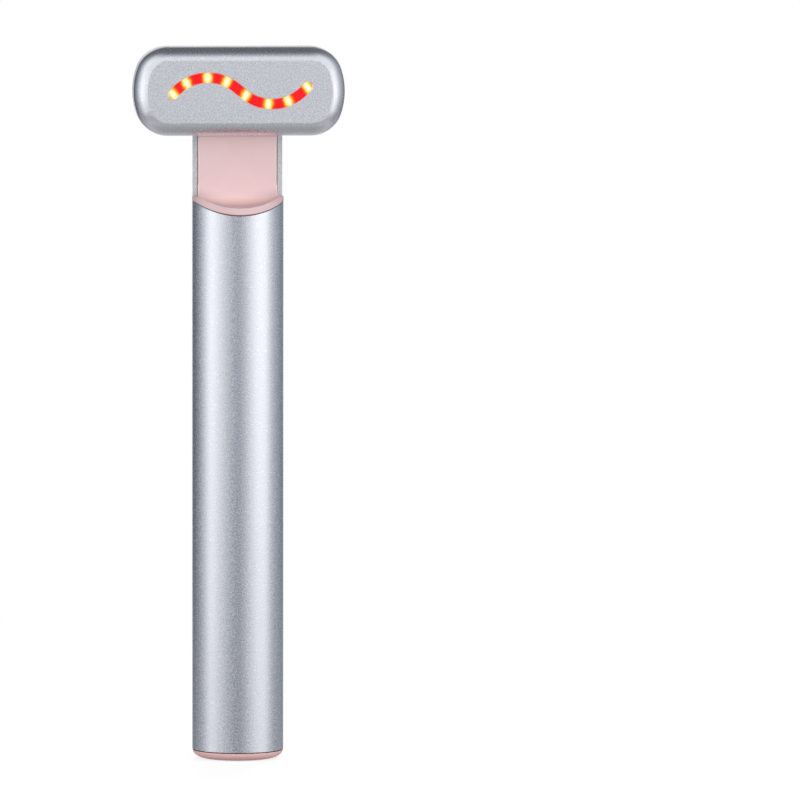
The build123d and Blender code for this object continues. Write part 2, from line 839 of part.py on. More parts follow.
motor_lead_z = motor_bottom - lead_gap - 2 * lead_bend
with BuildPart() as motor_leads:
    for lead_x in (-lead_pitch / 2, lead_pitch / 2):
        add(
            wire_along(
                [
                    (lead_x, motor_axis_y, motor_bottom),
                    (lead_x, motor_axis_y, motor_lead_z),
                    (lead_x, board_front_y, motor_lead_z),
                ],
                lead_bend,
                wire_radius,
            )
        )
motor_leads.part.label = "motor_leads"

# A sprung strip from the main board to the tube, which is one of the skin contacts
tube_contact_x = rail_inner - tube_contact_side_room - strip_width / 2
tip_y = contact_clearance + strip_thickness / 2 - sqrt(
    tube_bore**2 - (tube_contact_x + strip_width / 2) ** 2
)
tube_foot_y = board_front_y - strip_thickness / 2
tube_foot_z = upper_screw_z + crossbar_height / 2 + seat_gap
with BuildPart() as tube_contact:
    with BuildLine() as tube_strip_path:
        FilletPolyline(
            (tube_contact_x, tube_foot_y, tube_foot_z),
            (tube_contact_x, tube_foot_y, tube_foot_z + tube_contact_foot),
            (tube_contact_x, tip_y, tube_foot_z + tube_contact_foot / 2),
            (tube_contact_x, tip_y + tube_contact_foot / 4, tube_foot_z + tube_contact_foot),
            radius=strip_bend,
        )
    with BuildSketch(
        Plane(
            origin=tube_strip_path.line @ 0, x_dir=(1, 0, 0), z_dir=tube_strip_path.line % 0
        )
    ):
        Rectangle(strip_width, strip_thickness)
    sweep()
tube_contact.part.label = "tube_contact"

# Head shell: a rounded cup with a wave-shaped slot in its face and two posts for the board
with BuildPart() as shell_cavity:
    extrude(head_outline(head_plane(cover_front_y), head_wall), amount=cover_front_y - face_inner_y)
    fillet(shell_cavity.faces().sort_by(Axis.Y)[0].edges(), head_inner_fillet)

led_post_x = head_corner_x + led_post_past_corner_x
led_post_z = head_corner_z + led_post_past_corner_z
led_posts = ((-led_post_x, led_post_z), (led_post_x, -led_post_z))
head_contact_x = head_contact_end_room - head_length / 2
head_contact_z = head_contact_side_room - head_height / 2
with BuildPart() as head_shell:
    extrude(head_outline(head_plane(head_back_y), 0), amount=head_depth + head_face_cut)
    fillet(head_shell.faces().sort_by(Axis.Y)[0].edges(), head_front_fillet)
    split(bisect_by=head_plane(head_front_y), keep=Keep.BOTTOM)
    fillet(head_shell.faces().sort_by(Axis.Y)[-1].edges(), head_back_fillet)
    add(shell_cavity.part, mode=Mode.SUBTRACT)
    extrude(
        head_outline(head_plane(head_back_y), cover_rim),
        amount=cover_thickness,
        mode=Mode.SUBTRACT,
    )
    extrude(
        wave_band(head_plane(face_inner_y), slot_width),
        amount=head_face_wall,
        mode=Mode.SUBTRACT,
    )
    chamfer(head_shell.faces().sort_by(Axis.Y)[0].inner_wires()[0].edges(), slot_chamfer)
    with BuildSketch(head_plane(face_inner_y)):
        with Locations(*led_posts):
            Circle(led_post_radius)
    extrude(amount=face_inner_y - led_board_front_y)
    with BuildSketch(head_plane(led_board_front_y)):
        with Locations(*led_posts):
            Circle(screw_radius + screw_thread_room)
    extrude(amount=led_screw_grip + screw_hole_room, mode=Mode.SUBTRACT)
head_shell.part.label = "head_shell"

# Light window: a wave that fills the slot, with a flange behind the face
with BuildPart() as light_window:
    extrude(
        wave_band(head_plane(window_back_y), slot_width + 2 * window_flange),
        amount=window_flange_thickness,
    )
    extrude(
        wave_band(head_plane(face_inner_y), slot_width - 2 * window_clearance),
        amount=head_face_wall - window_recess,
    )
light_window.part.label = "light_window"

# Heating film on the inner face around the window
with BuildPart() as heater_film:
    heater_plane = head_plane(face_inner_y + heater_thickness)
    extrude(head_outline(heater_plane, heater_inset), amount=heater_thickness)
    extrude(
        wave_band(heater_plane, slot_width + 2 * (window_flange + heater_margin)),
        amount=heater_thickness,
        mode=Mode.SUBTRACT,
    )
    with BuildSketch(heater_plane):
        with Locations(*led_posts):
            Circle(led_post_radius + heater_margin)
        with Locations((head_contact_x, head_contact_z)):
            Rectangle(2 * head_contact_foot, strip_width + 2 * heater_margin)
    extrude(amount=heater_thickness, mode=Mode.SUBTRACT)
heater_film.part.label = "heater_film"

# The head's board with its row of lights, screwed to the two posts from behind
with BuildPart() as led_board:
    extrude(head_outline(head_plane(led_board_back_y), led_board_inset), amount=led_board_thickness)
    with BuildSketch(head_plane(led_board_back_y)):
        with Locations(*led_posts):
            Circle(screw_radius + screw_hole_room)
    extrude(amount=led_board_thickness, mode=Mode.SUBTRACT)
led_board.part.label = "led_board"

wave_wire = wave_centre_line()
with BuildPart() as led_chips:
    with BuildSketch(head_plane(led_board_front_y)):
        for place in light_places:
            spot = wave_wire.position_at(place)
            with Locations(Location((spot.X, spot.Y, 0), (0, 0, wave_wire.tangent_angle_at(place)))):
                Rectangle(light_length, light_width)
    extrude(amount=light_height)
led_chips.part.label = "led_chips"

with BuildPart() as led_board_screws:
    for post_x, post_z in led_posts:
        add(
            pan_screw(
                (post_x, led_board_back_y, pivot_z + post_z),
                (0, -1, 0),
                led_board_thickness + led_screw_grip,
            )
        )
led_board_screws.part.label = "led_board_screws"

with BuildPart() as led_driver:
    with BuildSketch(head_plane(led_board_back_y)):
        with Locations((driver_x, 0)):
            Rectangle(driver_size, driver_size)
    extrude(amount=-driver_height)
led_driver.part.label = "led_driver"

# A sprung strip from the head's board to its shell, the other skin contact
head_foot_y = led_board_front_y - strip_thickness / 2
head_tip_y = face_inner_y + strip_thickness / 2 + contact_clearance
head_strip_z = pivot_z + head_contact_z
with BuildPart() as head_contact:
    with BuildLine() as head_strip_path:
        FilletPolyline(
            (head_contact_x - head_contact_foot / 2, head_foot_y, head_strip_z),
            (head_contact_x + head_contact_foot / 2, head_foot_y, head_strip_z),
            (head_contact_x, head_tip_y, head_strip_z),
            (head_contact_x - head_contact_foot / 2, head_tip_y + strip_bend, head_strip_z),
            radius=strip_bend,
        )
    with BuildSketch(
        Plane(
            origin=head_strip_path.line @ 0, x_dir=(0, 0, 1), z_dir=head_strip_path.line % 0
        )
    ):
        Rectangle(strip_width, strip_thickness)
    sweep()
head_contact.part.label = "head_contact"

# Back cover of the head: a plate in the shell's rebate with a boss for the swivel shaft
with BuildPart() as head_cover:
    extrude(
        head_outline(head_plane(head_back_y), cover_rim + cover_clearance), amount=cover_thickness
    )
    with BuildSketch(head_plane(cover_front_y)):
        Circle(pivot_boss_radius)
    extrude(amount=pivot_boss_depth)
    with BuildSketch(head_plane(head_back_y)):
        Circle(shaft_radius + key_clearance)
    extrude(amount=cover_thickness + pivot_boss_depth, mode=Mode.SUBTRACT)
    with BuildSketch(head_plane(boss_front_y)):
        with PolarLocations(pivot_screw_circle, pivot_screw_count, 90):
            Circle(screw_radius + screw_thread_room)
    extrude(amount=-screw_thread_length - screw_hole_room, mode=Mode.SUBTRACT)
head_cover.part.label = "head_cover"

# Swivel shaft: flange in the head, hollow for the wires, flats for the washer, a clip groove
with BuildPart() as pivot_shaft:
    with BuildSketch(head_plane(shaft_front_y)):
        Circle(shaft_flange_radius)
    extrude(amount=-shaft_flange_thickness)
    with BuildSketch(head_plane(boss_front_y)):
        Circle(shaft_radius)
    extrude(amount=boss_front_y - washer_front_y)
    extrude(keyed_section(head_plane(washer_front_y), 0), amount=washer_front_y - shaft_back_y)
    with BuildSketch(head_plane(clip_front_y - clip_clearance)):
        Circle(2 * shaft_radius)
        Circle(clip_groove_radius, mode=Mode.SUBTRACT)
    extrude(amount=-(clip_thickness + 2 * clip_clearance), mode=Mode.SUBTRACT)
    with BuildSketch(head_plane(shaft_front_y)):
        Circle(shaft_bore)
    extrude(amount=shaft_front_y - shaft_back_y, mode=Mode.SUBTRACT)
    with BuildSketch(head_plane(shaft_front_y)):
        with PolarLocations(pivot_screw_circle, pivot_screw_count, 90):
            Circle(screw_radius + screw_hole_room)
    extrude(amount=-shaft_flange_thickness, mode=Mode.SUBTRACT)
pivot_shaft.part.label = "pivot_shaft"

with BuildPart() as pivot_screws:
    with BuildSketch(head_plane(shaft_front_y)):
        with PolarLocations(pivot_screw_circle, pivot_screw_count, 90):
            Circle(screw_head_radius)
    extrude(amount=screw_head_height)
    with BuildSketch(head_plane(shaft_front_y)):
        with PolarLocations(pivot_screw_circle, pivot_screw_count, 90):
            Circle(screw_radius)
    extrude(amount=-(shaft_flange_thickness + screw_thread_length))
pivot_screws.part.label = "pivot_screws"

# Bush in the panel, disc spring, stop washer with its tab and the clip that holds them
with BuildPart() as pivot_bush:
    with BuildSketch(head_plane(neck_face_y)):
        Circle(bush_flange_radius)
    extrude(amount=head_gap - thrust_gap)
    with BuildSketch(head_plane(neck_face_y)):
        Circle(bush_radius)
    extrude(amount=neck_face_y - neck_boss_y)
    with BuildSketch(head_plane(neck_boss_y)):
        Circle(shaft_radius + pivot_clearance)
    extrude(amount=2 * tube_radius, mode=Mode.SUBTRACT)
pivot_bush.part.label = "pivot_bush"

with BuildPart() as disc_spring:
    with BuildSketch(Plane.XY.offset(pivot_z)):
        with BuildLine():
            Polyline(
                (shaft_radius + spring_bore_room, neck_boss_y),
                (spring_radius, neck_boss_y + spring_rise - spring_thickness),
                (spring_radius, neck_boss_y + spring_rise),
                (shaft_radius + spring_bore_room, neck_boss_y + spring_thickness),
                close=True,
            )
        make_face()
    revolve(axis=Axis((0, 0, pivot_z), (0, 1, 0)))
disc_spring.part.label = "disc_spring"

with BuildPart() as stop_washer:
    with BuildSketch(head_plane(washer_back_y)):
        Circle(washer_radius)
        Rectangle(tab_width, tab_reach, align=(Align.CENTER, Align.MIN))
    extrude(amount=washer_thickness)
    extrude(
        keyed_section(head_plane(washer_back_y), key_clearance),
        amount=washer_thickness,
        mode=Mode.SUBTRACT,
    )
stop_washer.part.label = "stop_washer"

with BuildPart() as retaining_clip:
    with BuildSketch(head_plane(clip_back_y)):
        Circle(clip_radius)
        Circle(clip_groove_radius + clip_clearance, mode=Mode.SUBTRACT)
        Rectangle(clip_opening, clip_radius, align=(Align.CENTER, Align.MAX), mode=Mode.SUBTRACT)
    extrude(amount=clip_thickness)
retaining_clip.part.label = "retaining_clip"

# Wires of the head: straight through the hollow shaft, then down the back of the neck
with BuildPart() as head_harness:
    with BuildSketch(head_plane(led_board_back_y)):
        with GridLocations(wire_pitch, 1, wire_count, 1):
            Circle(wire_radius)
    extrude(amount=led_board_back_y - shaft_back_y)
head_harness.part.label = "head_harness"

harness_y = insert_cavity - wire_radius - seat_gap
connector_y = board_back_y + connector_height / 2
harness_turn_z = insert_bottom - lead_gap
with BuildPart() as neck_harness:
    for index in range(wire_count):
        wire_x = (index - (wire_count - 1) / 2) * wire_pitch
        add(
            wire_along(
                [
                    (wire_x, shaft_back_y + wire_gap, pivot_z),
                    (wire_x, harness_y, pivot_z),
                    (wire_x, harness_y, harness_turn_z + harness_y - connector_y),
                    (wire_x, connector_y, harness_turn_z),
                    (wire_x, connector_y, board_top),
                ],
                wire_bend,
                wire_radius,
            )
        )
neck_harness.part.label = "neck_harness"

sub_parts = (
    handle_tube,
    neck_insert,
    base_cap,
    base_seal,
    usb_socket,
    socket_tongue,
    charge_board,
    charge_chip,
    chassis,
    battery_cell,
    battery_tabs,
    battery_leads,
    charge_leads,
    main_board,
    board_screws,
    control_chip,
    boost_coil,
    capacitors,
    harness_connector,
    power_button,
    tact_switch,
    switch_plunger,
    indicator_light,
    light_pipe,
    motor_can,
    motor_boot,
    motor_shaft,
    motor_weight,
    motor_leads,
    tube_contact,
    head_shell,
    light_window,
    heater_film,
    led_board,
    led_chips,
    led_board_screws,
    led_driver,
    head_contact,
    head_cover,
    pivot_shaft,
    pivot_screws,
    pivot_bush,
    disc_spring,
    stop_washer,
    retaining_clip,
    head_harness,
    neck_harness,
)
os.makedirs("parts", exist_ok=True)
for sub_part in sub_parts:
    export_step(sub_part.part, f"parts/{sub_part.part.label}.step")
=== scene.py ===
from math import cos, radians, sin

import bmesh
import bpy
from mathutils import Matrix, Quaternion, Vector


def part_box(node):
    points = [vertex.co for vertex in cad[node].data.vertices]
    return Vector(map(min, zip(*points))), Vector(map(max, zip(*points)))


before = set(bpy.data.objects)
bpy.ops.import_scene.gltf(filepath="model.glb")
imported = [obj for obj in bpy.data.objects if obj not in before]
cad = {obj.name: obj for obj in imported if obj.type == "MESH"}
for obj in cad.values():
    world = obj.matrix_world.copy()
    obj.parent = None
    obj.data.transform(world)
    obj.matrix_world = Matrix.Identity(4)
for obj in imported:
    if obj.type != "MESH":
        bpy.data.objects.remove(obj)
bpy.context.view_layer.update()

# Handle tube
# A thin round aluminium tube, scooped and cut away at the front of the neck. It is finely blasted
# and anodised silver, so it shows the lamps as two soft upright bands; its cut edges are left paler.


def colour(red, green, blue):
    """A colour given as it looks, 0 to 255, in the shader's own numbers."""
    looks = (red / 255, green / 255, blue / 255)
    return [(c / 12.92 if c < 0.04 else ((c + 0.055) / 1.055) ** 2.4) for c in looks] + [1]


def put(tree, kind, inputs=None, **settings):
    """Adds a node to a tree, sets its options, and fills or links its inputs by name or number."""
    node = tree.nodes.new("ShaderNode" + kind)
    for option, value in settings.items():
        setattr(node, option, value)
    for socket, value in (inputs or {}).items():
        if isinstance(value, bpy.types.NodeSocket):
            tree.links.new(value, node.inputs[socket])
        else:
            node.inputs[socket].default_value = value
    return node


def maths(tree, operation, first, second=0.0):
    """One sum."""
    return put(tree, "Math", {0: first, 1: second}, operation=operation).outputs[0]


def span(tree, value, low, high, least=0.0, most=1.0):
    """A number spread from least to most as the value goes from low to high, and held beyond."""
    return put(tree, "MapRange", {0: value, 1: low, 2: high, 3: least, 4: most}).outputs[0]


def blend(tree, mask, first, second):
    """Two colours mixed by a mask."""
    return put(tree, "Mix", {0: mask, 6: first, 7: second}, data_type="RGBA").outputs[2]


def apart(tree, first, second):
    """How far two numbers are apart."""
    return maths(tree, "ABSOLUTE", maths(tree, "SUBTRACT", first, second))


def point_on(tree):
    """The point of the object that is looked at, as one vector."""
    return put(tree, "TexCoord").outputs["Object"]


def place_on(tree):
    """Where that point lies, as X, Y and Z."""
    return put(tree, "SeparateXYZ", {0: point_on(tree)}).outputs


def material(name, numbers):
    """A new material whose shader has these plain numbers and colours."""
    made = bpy.data.materials.new(name)
    made.use_nodes = True
    shader = made.node_tree.nodes["Principled BSDF"]
    for socket, value in numbers.items():
        shader.inputs[socket].default_value = value
    return made, made.node_tree, shader


def finish(tree, shader, tone, rough, height=None, depth=0.0):
    """Links what changes over a surface to its shader: colour, roughness and relief."""
    tree.links.new(tone, shader.inputs["Base Color"])
    tree.links.new(rough, shader.inputs["Roughness"])
    if height:
        bump = put(tree, "Bump", {"Height": height, "Strength": 1.0, "Distance": depth})
        tree.links.new(bump.outputs[0], shader.inputs["Normal"])


def effect(name, inputs, outputs):
    """A new node group with these number inputs and outputs, for use in several materials."""
    group = bpy.data.node_groups.new(name, "ShaderNodeTree")
    for socket, value in inputs.items():
        made = group.interface.new_socket(socket, in_out="INPUT", socket_type="NodeSocketFloat")
        made.default_value = value
    for socket in outputs:
        group.interface.new_socket(socket, in_out="OUTPUT", socket_type="NodeSocketFloat")
    return group, group.nodes.new("NodeGroupInput").outputs, group.nodes.new("NodeGroupOutput").inputs


def use(tree, group, **numbers):
    """Places an effect in a material with its own numbers."""
    node = tree.nodes.new("ShaderNodeGroup")
    node.node_tree = group
    for socket, value in numbers.items():
        node.inputs[socket].default_value = value
    return node.outputs


def dress(made, *names):
    """Gives CAD nodes this material."""
    for name in names:
        cad[name].data.materials.clear()
        cad[name].data.materials.append(made)


# The grain of a blasted metal: tiny pits for the relief, and a few facets that catch the light
blasted_grain, given, shown = effect(
    "blasted_grain", {"Scale": 3700.0, "Share": 0.04}, ("Height", "Sparkle"),
)
here = point_on(blasted_grain)
pits = put(blasted_grain, "TexNoise", {"Vector": here, "Scale": given["Scale"], "Detail": 2.0})
facets = put(blasted_grain, "TexVoronoi", {"Vector": here, "Scale": given["Scale"]})
turn = put(blasted_grain, "SeparateColor", {0: facets.outputs["Color"]}).outputs[0]
blasted_grain.links.new(pits.outputs[0], shown["Height"])
blasted_grain.links.new(maths(blasted_grain, "LESS_THAN", turn, given["Share"]), shown["Sparkle"])

# What hands leave on a surface: broad soft patches, stretched up the wand
handling, given, shown = effect("handling", {"Scale": 45.0}, ("Patches",))
here = point_on(handling)
tall = put(handling, "Mapping", {"Vector": here, "Scale": (1.0, 1.0, 0.35)}).outputs[0]
patch = put(handling, "TexNoise", {"Vector": tall, "Scale": given["Scale"], "Detail": 3.0})
handling.links.new(patch.outputs[0], shown["Patches"])


def anodised(name, where, main, other):
    """Silver anodised aluminium in one finish, and in another where the mask says. Each finish is its
    tone, the shade of its pits, its roughness, and how coarse its grain is."""
    made, tree, shader = material(name, {"Metallic": 1.0})
    mask = where(tree, place_on(tree))
    grain = use(tree, blasted_grain)
    tone, shade, rough, coarse = main
    other_tone, other_shade, other_rough, other_coarse = other
    pits = span(tree, grain["Height"], 0.3, 0.7)
    speckled = blend(tree, pits, blend(tree, mask, shade, other_shade), blend(tree, mask, tone, other_tone))
    sparkle = maths(tree, "MULTIPLY", grain["Sparkle"], facet_light)
    lit = blend(tree, sparkle, speckled, colour(255, 255, 255))
    coarseness = span(tree, mask, 0.0, 1.0, coarse, other_coarse)
    relief = maths(tree, "MULTIPLY", grain["Height"], coarseness)
    from_middle = maths(tree, "MULTIPLY", maths(tree, "SUBTRACT", grain["Height"], 0.5), coarseness)
    uneven = maths(tree, "MULTIPLY", from_middle, pit_roughness)
    blast = maths(tree, "ADD", span(tree, mask, 0.0, 1.0, rough, other_rough), uneven)
    worn = span(tree, use(tree, handling)["Patches"], 0.2, 0.8, -handled, handled)
    finish(tree, shader, lit, maths(tree, "ADD", blast, worn), relief, pit_depth)
    return made


def cut_faces(tree, here):
    """The two upright cut faces of the tube, beside the pink panel."""
    near = span(tree, apart(tree, here["Y"], cut_y), 0.00004, 0.00002)
    return maths(tree, "MULTIPLY", near, span(tree, here["Z"], cut_foot, cut_foot + 0.0001))


facet_light = 0.4
pit_roughness = 0.7
pit_depth = 0.00002
handled = 0.02
cut_y = 0.0017
cut_foot = 0.1165
fine_blast = (colour(238, 240, 247), colour(208, 211, 223), 0.3, 1.0)
pale_cut = (colour(246, 246, 248), colour(214, 214, 217), 0.6, 1.0)
dress(anodised("silver_tube", cut_faces, fine_blast, pale_cut), "handle_tube")

# Neck insert, base cap, head cover and power button
# Pink mouldings of matte plastic. The insert is the lip over the tube's scooped edge and the panel
# behind the head; the cap closes the foot of the tube; the cover closes the back of the head.

# The skin of a moulding: a fine eroded texture, and the faint marks of the plastic's flow
moulded, given, shown = effect("moulded", {"Scale": 3000.0}, ("Height", "Flow"))
here = point_on(moulded)
skin = put(moulded, "TexNoise", {"Vector": here, "Scale": given["Scale"], "Detail": 1.0})
flow = put(moulded, "TexNoise", {"Vector": here, "Scale": 110.0, "Detail": 3.0, "Distortion": 0.6})
moulded.links.new(skin.outputs[0], shown["Height"])
moulded.links.new(flow.outputs[0], shown["Flow"])


def plastic(name, tone, shade, rough, depth, gloss=0.5, painted_light=None):
    """Moulded plastic, with painted light or shade where a function of its own adds it."""
    made, tree, shader = material(name, {"Specular IOR Level": gloss})
    marks = use(tree, moulded)
    tint = blend(tree, span(tree, marks["Flow"], 0.3, 0.7), shade, tone)
    if painted_light:
        tint = painted_light(tree, place_on(tree), tint)
    uneven = span(tree, marks["Flow"], 0.2, 0.8, rough - 0.04, rough + 0.04)
    finish(tree, shader, tint, uneven, marks["Height"], depth)
    return made


pink, pink_flow = colour(224, 195, 196), colour(221, 190, 191)
dress(
    plastic("pink_moulding", pink, pink_flow, rough=0.45, depth=0.000004, gloss=0.9),
    "head_cover", "power_button",
)


def cap_seam_shade(tree, here, tint):
    """Painted shade: the seam over the cap is painted dark, for the shadow that the tube's foot casts into
    the gap.
    """
    seam = span(tree, here["Z"], cap_top - 0.00012, cap_top - 0.00004)
    return blend(tree, seam, tint, colour(112, 84, 86))


cap_top = 0.00182
# The cap is the same pink plastic as the insert, painted deeper and more saturated: painted shade and
# bounce light low on the wand.
shaded_cap_pink, shaded_cap_flow = colour(229, 185, 184), colour(225, 180, 179)
dress(
    plastic("pink_cap", shaded_cap_pink, shaded_cap_flow, rough=0.42, depth=0.000004, gloss=0.9, painted_light=cap_seam_shade),
    "base_cap",
)


def vector(tree, x=0.0, y=0.0, z=0.0):
    """Three numbers made into a vector."""
    return put(tree, "CombineXYZ", {0: x, 1: y, 2: z}).outputs[0]


def length(tree, way):
    """The length of a vector."""
    return put(tree, "VectorMath", {0: way}, operation="LENGTH").outputs["Value"]


def insert_painted_light(tree, here, tint):
    """Painted light: a painted highlight on the panel's chamfers, painted bounce light on the ledge, and
    painted shade in the seam under the lip.
    """
    out_x = maths(tree, "ABSOLUTE", here["X"])
    on_panel = span(tree, here["Z"], panel_foot, panel_foot + 0.00005)
    below_panel = span(tree, here["Z"], panel_foot + 0.0004, panel_foot - 0.0006)
    # Painted highlight: the chamfers are painted paler, for the glint along the panel's edges.
    chamfer = maths(tree, "MULTIPLY", span(tree, out_x, chamfer_x, chamfer_x + 0.00003), on_panel)
    paler = blend(tree, chamfer, tint, colour(246, 222, 222))
    # Painted bounce light: the ledge is painted brighter and warmer pink, for the light the panel throws
    # into the crease.
    drop = maths(tree, "SUBTRACT", here["Z"], scoop_centre_z)
    reach = length(tree, vector(tree, here["X"], drop))
    ledge_bounce = maths(tree, "MULTIPLY", span(tree, reach, lip_inside, lip_inside - 0.0001), below_panel)
    deeper = blend(tree, ledge_bounce, paler, colour(239, 203, 202))
    # Painted shade: the lip's lower edge is painted dark brown, for the shade in the seam under it.
    under_lip_shade = span(tree, reach, lip_reach - 0.00022, lip_reach - 0.0001)
    return blend(tree, under_lip_shade, deeper, colour(128, 78, 74))


panel_foot = 0.1205
chamfer_x = 0.00827
scoop_centre_z = 0.1362
lip_reach = 0.01952
lip_inside = 0.018
dress(
    plastic("pink_insert", pink, pink_flow, rough=0.45, depth=0.000004, gloss=0.9, painted_light=insert_painted_light),
    "neck_insert",
)

# Base seal and motor boot
# Soft grey silicone: a ring round the cap's plug, and a sleeve that keeps the motor's buzz off the
# chassis.
dress(
    plastic("grey_silicone", colour(176, 176, 176), colour(160, 160, 161), rough=0.62, depth=0.000006),
    "base_seal", "motor_boot",
)

# Head shell
# The same aluminium as the tube. Its flat face is blasted coarse, even and grey, up to a crisp
# border. Beyond that its rounded edge is smooth satin, so that it shows the lamps at both ends.
face_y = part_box("head_shell")[0].y


def rounded_edge(tree, here):
    """The edge that falls back from the flat face."""
    return span(tree, here["Y"], face_y + 0.00002, face_y + 0.0002)


coarse_blast = (colour(250, 251, 255), colour(204, 206, 213), 0.56, 1.7)
smooth_satin = (colour(225, 227, 234), colour(219, 221, 229), 0.28, 0.2)
dress(anodised("silver_shell", rounded_edge, coarse_blast, smooth_satin), "head_shell")

# Light window
# A translucent red strip in the slot of the face, lit from behind by eight small lights. The glow of each
# light is painted into the strip as emission: a pale yellow spot with an orange ring in the red.
light_count = 8
corners = sorted((v.co for v in cad["led_chips"].data.vertices), key=lambda corner: corner.x)
share = len(corners) // light_count
light_spots = [sum(corners[i * share:(i + 1) * share], Vector()) / share for i in range(light_count)]


def dot(tree, first, second):
    """How far one vector reaches along another."""
    return put(tree, "VectorMath", {0: first, 1: second}, operation="DOT_PRODUCT").outputs["Value"]


# A spot is wider across the wave than it is long, and its edge is cloudy
spot_reach = 0.0026
spot_squeeze = 0.55
spot_cloud = 0.00012
made, tree, shader = material(
    "red_window", {"Roughness": 0.35, "Specular IOR Level": 0.3, "Emission Strength": 1.0},
)
here = point_on(tree)
nearest = None
for index, spot in enumerate(light_spots):
    along = (light_spots[min(index + 1, light_count - 1)] - light_spots[max(index - 1, 0)]).normalized()
    across = spot_squeeze * Vector((-along.z, 0.0, along.x))
    off = put(tree, "VectorMath", {0: here, 1: spot}, operation="SUBTRACT").outputs[0]
    away = length(tree, vector(tree, dot(tree, off, along), dot(tree, off, across)))
    nearest = maths(tree, "MINIMUM", nearest, away) if nearest else away
cloudy = put(tree, "TexNoise", {"Vector": here, "Scale": 1300.0, "Detail": 2.0}).outputs[0]
nearest = maths(tree, "ADD", nearest, span(tree, cloudy, 0.3, 0.7, -spot_cloud, spot_cloud))
ramp = put(tree, "ValToRGB", {0: span(tree, nearest, 0.0, spot_reach, 1.0, 0.0)})
stops = {
    0.0: (236, 0, 8), 0.4: (238, 4, 8), 0.53: (244, 60, 10), 0.63: (250, 150, 24), 0.7: (253, 210, 60),
    0.8: (255, 246, 150), 0.9: (255, 255, 242),
}
for place, tone in stops.items():
    stop = ramp.color_ramp.elements.new(place) if place else ramp.color_ramp.elements[0]
    stop.color = colour(*tone)
ramp.color_ramp.elements.remove(ramp.color_ramp.elements[-1])
# The painted glow: the spots are the window's own emission, not light from the packages behind it.
tree.links.new(ramp.outputs[0], shader.inputs["Emission Color"])
grain = put(tree, "TexNoise", {"Vector": here, "Scale": 900.0, "Detail": 2.0}).outputs[0]
tree.links.new(blend(tree, grain, colour(110, 6, 9), colour(130, 9, 12)), shader.inputs["Base Color"])
dress(made, "light_window")

# The lights of the head and their board
# Eight small packages with a yellow phosphor face, lit, on a white board that follows the head's
# outline. The same packages are used for the charge indicator at the back of the handle.


def facing_on(tree):
    """Which way the surface faces, as X, Y and Z."""
    return put(tree, "SeparateXYZ", {0: put(tree, "TexCoord").outputs["Normal"]}).outputs


def light_package(name, glow):
    """A white package whose front is covered in phosphor."""
    lit = {"Emission Strength": glow, "Emission Color": colour(255, 226, 150)}
    made, tree, shader = material(name, lit)
    marks = use(tree, moulded, Scale=9000.0)
    phosphor = span(tree, maths(tree, "ABSOLUTE", facing_on(tree)["Y"]), 0.6, 0.8)
    body = blend(tree, marks["Flow"], colour(226, 226, 222), colour(238, 238, 235))
    tint = blend(tree, phosphor, body, colour(246, 222, 130))
    finish(tree, shader, tint, span(tree, marks["Height"], 0.2, 0.8, 0.35, 0.5), marks["Height"], 0.000004)
    return made


dress(light_package("lit_package", glow=1.5), "led_chips")
dress(light_package("unlit_package", glow=0.0), "indicator_light")


def circuit_board(name, mask_tone, track_tone):
    """A board: glossy solder mask over tracks, tinned holes, and a bare glass fibre edge."""
    made, tree, shader = material(name, {"Coat Weight": 0.3, "Coat Roughness": 0.15})
    here = place_on(tree)
    edge = span(tree, maths(tree, "ABSOLUTE", facing_on(tree)["Y"]), 0.6, 0.4)
    flat = vector(tree, here["X"], here["Z"])
    laid = {"Mortar Size": 0.11, "Mortar Smooth": 0.1, "Brick Width": 2.7, "Row Height": 0.62}
    tracks = put(
        tree, "TexBrick", {"Vector": flat, "Scale": 1000.0, **laid}, offset=0.37, offset_frequency=3,
    ).outputs["Fac"]
    holes = put(tree, "TexVoronoi", {"Vector": flat, "Scale": 420.0}).outputs["Distance"]
    tinned = maths(tree, "MULTIPLY", span(tree, holes, 0.15, 0.13), maths(tree, "SUBTRACT", 1.0, edge))
    printed = blend(tree, tracks, mask_tone, track_tone)
    metal_holes = blend(tree, tinned, printed, colour(206, 204, 196))
    tint = blend(tree, edge, metal_holes, colour(196, 190, 150))
    relief = maths(tree, "ADD", tracks, tinned)
    finish(tree, shader, tint, span(tree, edge, 0.0, 1.0, 0.34, 0.8), relief, 0.00003)
    tree.links.new(tinned, shader.inputs["Metallic"])
    return made


dress(circuit_board("white_board", colour(232, 232, 227), colour(222, 222, 216)), "led_board")

# Heating film
# A thin amber film with a copper track that goes to and fro in it, glued round the window behind
# the face.
made, tree, shader = material("amber_film", {"Coat Weight": 0.5, "Coat Roughness": 0.1})
track_pitch = 0.0009
track = span(tree, maths(tree, "PINGPONG", place_on(tree)["Z"], track_pitch / 2), 0.00016, 0.00019)
marks = use(tree, moulded)
film = blend(tree, marks["Flow"], colour(186, 112, 26), colour(204, 130, 38))
tint = blend(tree, track, colour(178, 92, 52), film)
finish(tree, shader, tint, span(tree, marks["Height"], 0.2, 0.8, 0.28, 0.4), track, 0.00002)
dress(made, "heater_film")

# Steel parts: screws, swivel, springs, motor, charging socket and the cell's tabs
# Small turned, drawn or stamped parts, plated or left bare. Each shows fine lines from the tool or
# the die, and slightly cloudy plating.

